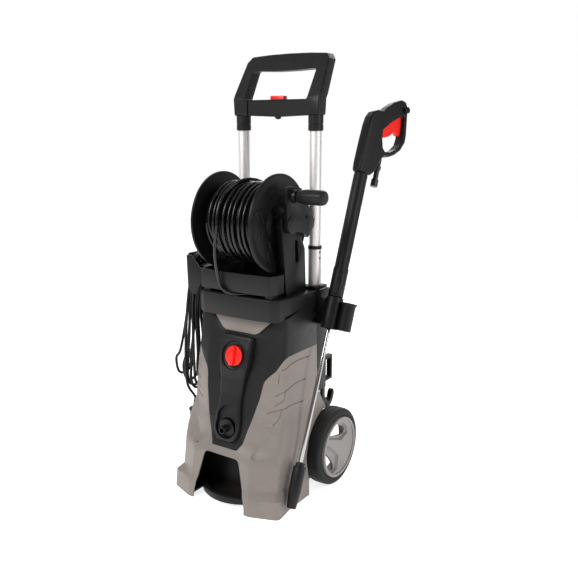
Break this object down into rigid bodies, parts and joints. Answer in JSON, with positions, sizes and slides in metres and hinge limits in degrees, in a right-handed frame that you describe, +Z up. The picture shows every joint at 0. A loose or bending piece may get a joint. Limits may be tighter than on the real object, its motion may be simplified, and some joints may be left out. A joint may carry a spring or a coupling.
{
  "type": "electric pressure washer",
  "caption": "Upright electric pressure washer on two wheels with a telescopic push handle, hose reel with crank, trigger gun in a side holder and a mains cord hung on a hook.",
  "frame": {"origin": "on the floor, on the middle plane of the housing", "axes": "+Z up, +X to the right-hand side seen from the front, the front faces -Y"},
  "size_m": [0.435, 0.5273, 1.051],
  "materials": {
    "grey_shell": "fine moulded texture, satin",
    "black_panel": "fine moulded texture, matte",
    "black_frame": "moulded texture, matte",
    "reel_plastic": "moulded, satin",
    "grip_plastic": "soft matte",
    "red_plastic": "smooth, satin gloss",
    "rim_grey": "moulded, satin",
    "tyre_rubber": "matte rubbery tread",
    "tube_steel": "satin drawn tube",
    "lance_steel": "polished",
    "axle_steel": "turned",
    "spring_steel": "drawn wire",
    "pump_metal": "cast and machined",
    "motor_steel": "rolled sheet",
    "inlet_plastic": "moulded, satin",
    "fitting_metal": "turned and plated",
    "hose_rubber": "smooth extruded cover, satin",
    "cord_rubber": "smooth extruded cover",
    "screw_steel": "blackened"
  },
  "bodies": {
    "frame": {"housing_shell": "grey_shell", "front_panel": "black_panel", "control_strip": "black_panel", "trim_insert": "grey_shell", "top_cover": "black_panel", "reel_tray": "black_panel", "cord_hook": "black_frame", "rear_cover": "black_frame", "tube_columns": "black_frame", "base_plate": "black_frame", "outer_tubes": "tube_steel", "tube_collars": "black_frame", "lance_holder": "black_frame", "rear_hooks": "black_frame", "wheel_axle": "axle_steel", "reel_stand_left": "reel_plastic", "reel_stand_right": "reel_plastic", "switch_body": "black_frame", "inlet_fitting": "inlet_plastic", "motor_case": "motor_steel", "gearbox_housing": "pump_metal", "pump_head": "pump_metal", "outlet_hose": "hose_rubber", "housing_screws": "screw_steel", "power_cord": "cord_rubber", "cord_hank": "cord_rubber", "cord_tail": "cord_rubber", "mains_plug": "black_frame", "strain_relief": "cord_rubber", "hose_tail": "hose_rubber", "hose_connector": "fitting_metal"},
    "rotor": {"motor_shaft": "axle_steel", "cooling_fan": "black_frame", "swash_plate": "axle_steel"},
    "switch": {"switch_knob": "red_plastic"},
    "handle": {"inner_tubes": "tube_steel", "tube_sleeves": "grip_plastic", "handle_front": "grip_plastic", "handle_rear": "grip_plastic", "button_spring": "spring_steel"},
    "button": {"handle_button": "red_plastic"},
    "reel": {"reel_flange_left": "reel_plastic", "reel_flange_right": "reel_plastic", "reel_drum": "reel_plastic", "hose_winding": "hose_rubber", "crank_arm": "reel_plastic"},
    "crank_grip": {"crank_knob": "grip_plastic"},
    "wheel_left": {"tyre_left": "tyre_rubber", "rim_left": "rim_grey"},
    "wheel_right": {"tyre_right": "tyre_rubber", "rim_right": "rim_grey"},
    "gun": {"gun_shell_left": "grip_plastic", "gun_shell_right": "grip_plastic", "gun_inlet": "fitting_metal", "lance_extension": "grip_plastic", "lance_tube": "lance_steel"},
    "trigger": {"gun_trigger": "red_plastic", "trigger_spring": "spring_steel"},
    "safety": {"safety_button": "black_frame"},
    "nozzle": {"spray_nozzle": "black_panel"}
  },
  "joints": [
    {"name": "motor_spin", "type": "hinge", "parent": "frame", "child": "rotor", "pos_m": [0, -0.005, 0.3], "axis": [0, 0, 1], "continuous": true},
    {"name": "switch_turn", "type": "hinge", "parent": "frame", "child": "switch", "pos_m": [0, -0.08547, 0.35067], "axis": [0, -0.9703, 0.2419], "range_deg": [0, 90]},
    {"name": "handle_slide", "type": "slide", "parent": "frame", "child": "handle", "axis": [0, 0, 1], "range_m": [-0.18, 0]},
    {"name": "handle_button_press", "type": "slide", "parent": "handle", "child": "button", "axis": [0, 0, -1], "range_m": [0, 0.005], "stiffness_N_per_m": 800, "springref_m": -0.001, "deforming": ["button_spring"]},
    {"name": "reel_spin", "type": "hinge", "parent": "frame", "child": "reel", "pos_m": [0, -0.032, 0.664], "axis": [1, 0, 0], "continuous": true},
    {"name": "crank_grip_spin", "type": "hinge", "parent": "reel", "child": "crank_grip", "pos_m": [0.15, -0.028, 0.728], "axis": [1, 0, 0], "continuous": true},
    {"name": "wheel_left_spin", "type": "hinge", "parent": "frame", "child": "wheel_left", "pos_m": [-0.156, 0.089, 0.097], "axis": [1, 0, 0], "continuous": true},
    {"name": "wheel_right_spin", "type": "hinge", "parent": "frame", "child": "wheel_right", "pos_m": [0.156, 0.089, 0.097], "axis": [1, 0, 0], "continuous": true},
    {"name": "gun_lift", "type": "slide", "parent": "frame", "child": "gun", "axis": [0, 0.3746, 0.9272], "range_m": [0, 0.08]},
    {"name": "trigger_pull", "type": "hinge", "parent": "gun", "child": "trigger", "pos_m": [0.17752, 0.25909, 0.88364], "axis": [0.9397, -0.3171, 0.1281], "range_deg": [0, 9], "stiffness_Nm_per_rad": 1.5, "springref_deg": -2.86},
    {"name": "safety_slide", "type": "slide", "parent": "gun", "child": "safety", "axis": [-0.9397, 0.3171, -0.1281], "range_m": [0, 0.005]},
    {"name": "nozzle_twist", "type": "hinge", "parent": "gun", "child": "nozzle", "pos_m": [0.17, -0.074, 0.1144], "axis": [0, 0.3746, 0.9272], "range_deg": [0, 90]}
  ]
}
